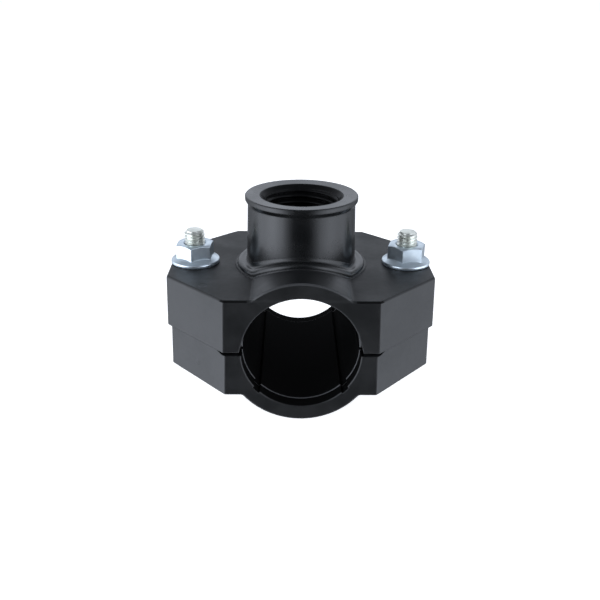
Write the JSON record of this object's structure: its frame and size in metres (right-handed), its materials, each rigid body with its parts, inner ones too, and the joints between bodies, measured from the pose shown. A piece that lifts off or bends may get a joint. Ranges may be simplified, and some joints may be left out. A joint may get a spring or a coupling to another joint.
{
  "type": "tapping saddle",
  "caption": "Two bolted plastic halves that clamp round a 32 mm pipe and seal a half inch female threaded outlet to its wall.",
  "frame": {"origin": "on the pipe's axis at the middle of the saddle, straight below the outlet", "axes": "+Z out of the threaded outlet, +Y along the pipe, +X from the left bolt to the right bolt"},
  "size_m": [0.077, 0.0578, 0.0572],
  "materials": {
    "black_polypropylene": "satin moulded",
    "seal_rubber": "moulded nitrile rubber",
    "zinc_plated_bolt": "zinc plated, slightly warm",
    "zinc_plated_nut": "bright zinc plated, bluish"
  },
  "bodies": {
    "saddle": {"upper_half": "black_polypropylene", "gasket": "seal_rubber"},
    "strap": {"lower_half": "black_polypropylene", "bolt_left": "zinc_plated_bolt", "bolt_right": "zinc_plated_bolt"},
    "left_nut": {"nut_left": "zinc_plated_nut"},
    "right_nut": {"nut_right": "zinc_plated_nut"}
  },
  "joints": [
    {"name": "strap_drop", "type": "slide", "parent": "saddle", "child": "strap", "axis": [0, 0, -1], "range_m": [0, 0.008]},
    {"name": "left_nut_turn", "type": "hinge", "parent": "saddle", "child": "left_nut", "pos_m": [-0.03115, 0, 0.0186], "axis": [0, 0, 1], "range_deg": [0, 2880]},
    {"name": "right_nut_turn", "type": "hinge", "parent": "saddle", "child": "right_nut", "pos_m": [0.03115, 0, 0.0186], "axis": [0, 0, 1], "range_deg": [0, 2880]}
  ],
  "couplings": [
    {"joint": "left_nut_turn", "follows": "strap_drop", "rad_per_m": 6283.2},
    {"joint": "right_nut_turn", "follows": "strap_drop", "rad_per_m": 6283.2}
  ]
}
